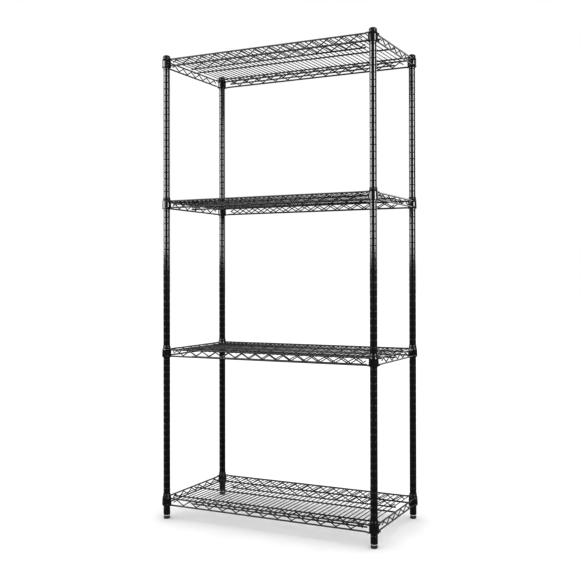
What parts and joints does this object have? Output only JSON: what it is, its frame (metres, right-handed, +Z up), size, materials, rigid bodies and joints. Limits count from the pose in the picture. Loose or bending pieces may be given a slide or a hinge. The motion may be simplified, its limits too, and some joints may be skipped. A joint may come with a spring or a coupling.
{
  "type": "wire shelving rack",
  "caption": "Free-standing wire shelving rack: round grooved posts, height-adjustable wire shelves with truss edges, split tapered sleeves and screw levelling feet.",
  "frame": {"origin": "on the floor at the middle of the footprint", "axes": "+Z up along the posts, +X along the shelves, +Y from the front to the rear"},
  "size_m": [0.9178, 0.4606, 1.8288],
  "materials": {
    "epoxy_coat": "gloss black epoxy over steel",
    "sleeve_plastic": "moulded black plastic",
    "cap_plastic": "moulded black plastic",
    "zinc_plate": "bright zinc plate",
    "pad_plastic": "moulded black nylon"
  },
  "bodies": {
    "posts": {"front_left_post": "epoxy_coat", "front_left_post_cap": "cap_plastic", "front_left_threaded_insert": "zinc_plate", "front_right_post": "epoxy_coat", "front_right_post_cap": "cap_plastic", "front_right_threaded_insert": "zinc_plate", "rear_left_post": "epoxy_coat", "rear_left_post_cap": "cap_plastic", "rear_left_threaded_insert": "zinc_plate", "rear_right_post": "epoxy_coat", "rear_right_post_cap": "cap_plastic", "rear_right_threaded_insert": "zinc_plate", "bottom_front_left_sleeve": "sleeve_plastic", "bottom_front_right_sleeve": "sleeve_plastic", "bottom_rear_left_sleeve": "sleeve_plastic", "bottom_rear_right_sleeve": "sleeve_plastic", "lower_front_left_sleeve": "sleeve_plastic", "lower_front_right_sleeve": "sleeve_plastic", "lower_rear_left_sleeve": "sleeve_plastic", "lower_rear_right_sleeve": "sleeve_plastic", "upper_front_left_sleeve": "sleeve_plastic", "upper_front_right_sleeve": "sleeve_plastic", "upper_rear_left_sleeve": "sleeve_plastic", "upper_rear_right_sleeve": "sleeve_plastic", "top_front_left_sleeve": "sleeve_plastic", "top_front_right_sleeve": "sleeve_plastic", "top_rear_left_sleeve": "sleeve_plastic", "top_rear_right_sleeve": "sleeve_plastic"},
    "bottom_shelf": {"bottom_shelf_collars": "epoxy_coat", "bottom_shelf_rim_wires": "epoxy_coat", "bottom_shelf_truss_wires": "epoxy_coat", "bottom_shelf_inner_trusses": "epoxy_coat", "bottom_shelf_support_wires": "epoxy_coat", "bottom_shelf_deck_wires": "epoxy_coat"},
    "lower_shelf": {"lower_shelf_collars": "epoxy_coat", "lower_shelf_rim_wires": "epoxy_coat", "lower_shelf_truss_wires": "epoxy_coat", "lower_shelf_inner_trusses": "epoxy_coat", "lower_shelf_support_wires": "epoxy_coat", "lower_shelf_deck_wires": "epoxy_coat"},
    "upper_shelf": {"upper_shelf_collars": "epoxy_coat", "upper_shelf_rim_wires": "epoxy_coat", "upper_shelf_truss_wires": "epoxy_coat", "upper_shelf_inner_trusses": "epoxy_coat", "upper_shelf_support_wires": "epoxy_coat", "upper_shelf_deck_wires": "epoxy_coat"},
    "top_shelf": {"top_shelf_collars": "epoxy_coat", "top_shelf_rim_wires": "epoxy_coat", "top_shelf_truss_wires": "epoxy_coat", "top_shelf_inner_trusses": "epoxy_coat", "top_shelf_support_wires": "epoxy_coat", "top_shelf_deck_wires": "epoxy_coat"},
    "front_left_pad": {"front_left_foot_pad": "pad_plastic"},
    "front_left_stem": {"front_left_foot_stem": "zinc_plate"},
    "front_right_pad": {"front_right_foot_pad": "pad_plastic"},
    "front_right_stem": {"front_right_foot_stem": "zinc_plate"},
    "rear_left_pad": {"rear_left_foot_pad": "pad_plastic"},
    "rear_left_stem": {"rear_left_foot_stem": "zinc_plate"},
    "rear_right_pad": {"rear_right_foot_pad": "pad_plastic"},
    "rear_right_stem": {"rear_right_foot_stem": "zinc_plate"}
  },
  "joints": [
    {"name": "bottom_shelf_lift", "type": "slide", "parent": "posts", "child": "bottom_shelf", "axis": [0, 0, 1], "range_m": [0, 0.545]},
    {"name": "lower_shelf_lift", "type": "slide", "parent": "posts", "child": "lower_shelf", "axis": [0, 0, 1], "range_m": [0, 0.545]},
    {"name": "upper_shelf_lift", "type": "slide", "parent": "posts", "child": "upper_shelf", "axis": [0, 0, 1], "range_m": [0, 0.52]},
    {"name": "top_shelf_lift", "type": "slide", "parent": "posts", "child": "top_shelf", "axis": [0, 0, 1], "range_m": [0, 0.1]},
    {"name": "front_left_foot_extend", "type": "slide", "parent": "posts", "child": "front_left_pad", "axis": [0, 0, -1], "range_m": [0, 0.02]},
    {"name": "front_left_foot_screw", "type": "hinge", "parent": "front_left_pad", "child": "front_left_stem", "pos_m": [-0.43815, -0.20955, 0.012], "axis": [0, 0, -1], "range_deg": [0, 4824]},
    {"name": "front_right_foot_extend", "type": "slide", "parent": "posts", "child": "front_right_pad", "axis": [0, 0, -1], "range_m": [0, 0.02]},
    {"name": "front_right_foot_screw", "type": "hinge", "parent": "front_right_pad", "child": "front_right_stem", "pos_m": [0.43815, -0.20955, 0.012], "axis": [0, 0, -1], "range_deg": [0, 4824]},
    {"name": "rear_left_foot_extend", "type": "slide", "parent": "posts", "child": "rear_left_pad", "axis": [0, 0, -1], "range_m": [0, 0.02]},
    {"name": "rear_left_foot_screw", "type": "hinge", "parent": "rear_left_pad", "child": "rear_left_stem", "pos_m": [-0.43815, 0.20955, 0.012], "axis": [0, 0, -1], "range_deg": [0, 4824]},
    {"name": "rear_right_foot_extend", "type": "slide", "parent": "posts", "child": "rear_right_pad", "axis": [0, 0, -1], "range_m": [0, 0.02]},
    {"name": "rear_right_foot_screw", "type": "hinge", "parent": "rear_right_pad", "child": "rear_right_stem", "pos_m": [0.43815, 0.20955, 0.012], "axis": [0, 0, -1], "range_deg": [0, 4824]}
  ],
  "couplings": [
    {"joint": "front_left_foot_screw", "follows": "front_left_foot_extend", "rad_per_m": 4188.8},
    {"joint": "front_right_foot_screw", "follows": "front_right_foot_extend", "rad_per_m": 4188.8},
    {"joint": "rear_left_foot_screw", "follows": "rear_left_foot_extend", "rad_per_m": 4188.8},
    {"joint": "rear_right_foot_screw", "follows": "rear_right_foot_extend", "rad_per_m": 4188.8}
  ]
}
